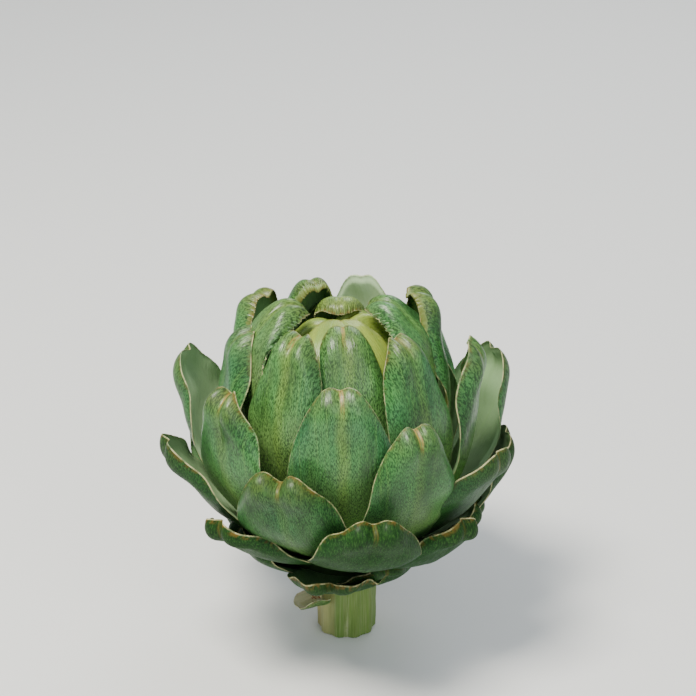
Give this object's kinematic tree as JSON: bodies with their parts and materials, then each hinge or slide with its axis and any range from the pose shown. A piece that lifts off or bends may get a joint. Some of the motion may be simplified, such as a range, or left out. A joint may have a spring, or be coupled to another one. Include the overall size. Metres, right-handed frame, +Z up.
{
  "type": "artichoke",
  "caption": "Globe artichoke as picked: closed crown, spreading lower bracts and a short ribbed stem with a leaf base, standing on the stem's square cut.",
  "frame": {"origin": "middle of the flat cut end of the stem, which the artichoke stands on", "axes": "+Z up along the stem towards the crown; -Y is the front of the head; +X to the right seen from the front"},
  "size_m": [0.141, 0.1441, 0.1491],
  "materials": {
    "bract_green": "fleshy green bract with a dull waxy bloom",
    "stem_pale_green": "ribbed fibrous stem, dull",
    "leaf_base_green": "dry leaf base, dull"
  },
  "bodies": {
    "root": {"head": "bract_green", "stem": "stem_pale_green", "stem_leaf": "leaf_base_green"}
  },
  "joints": []
}
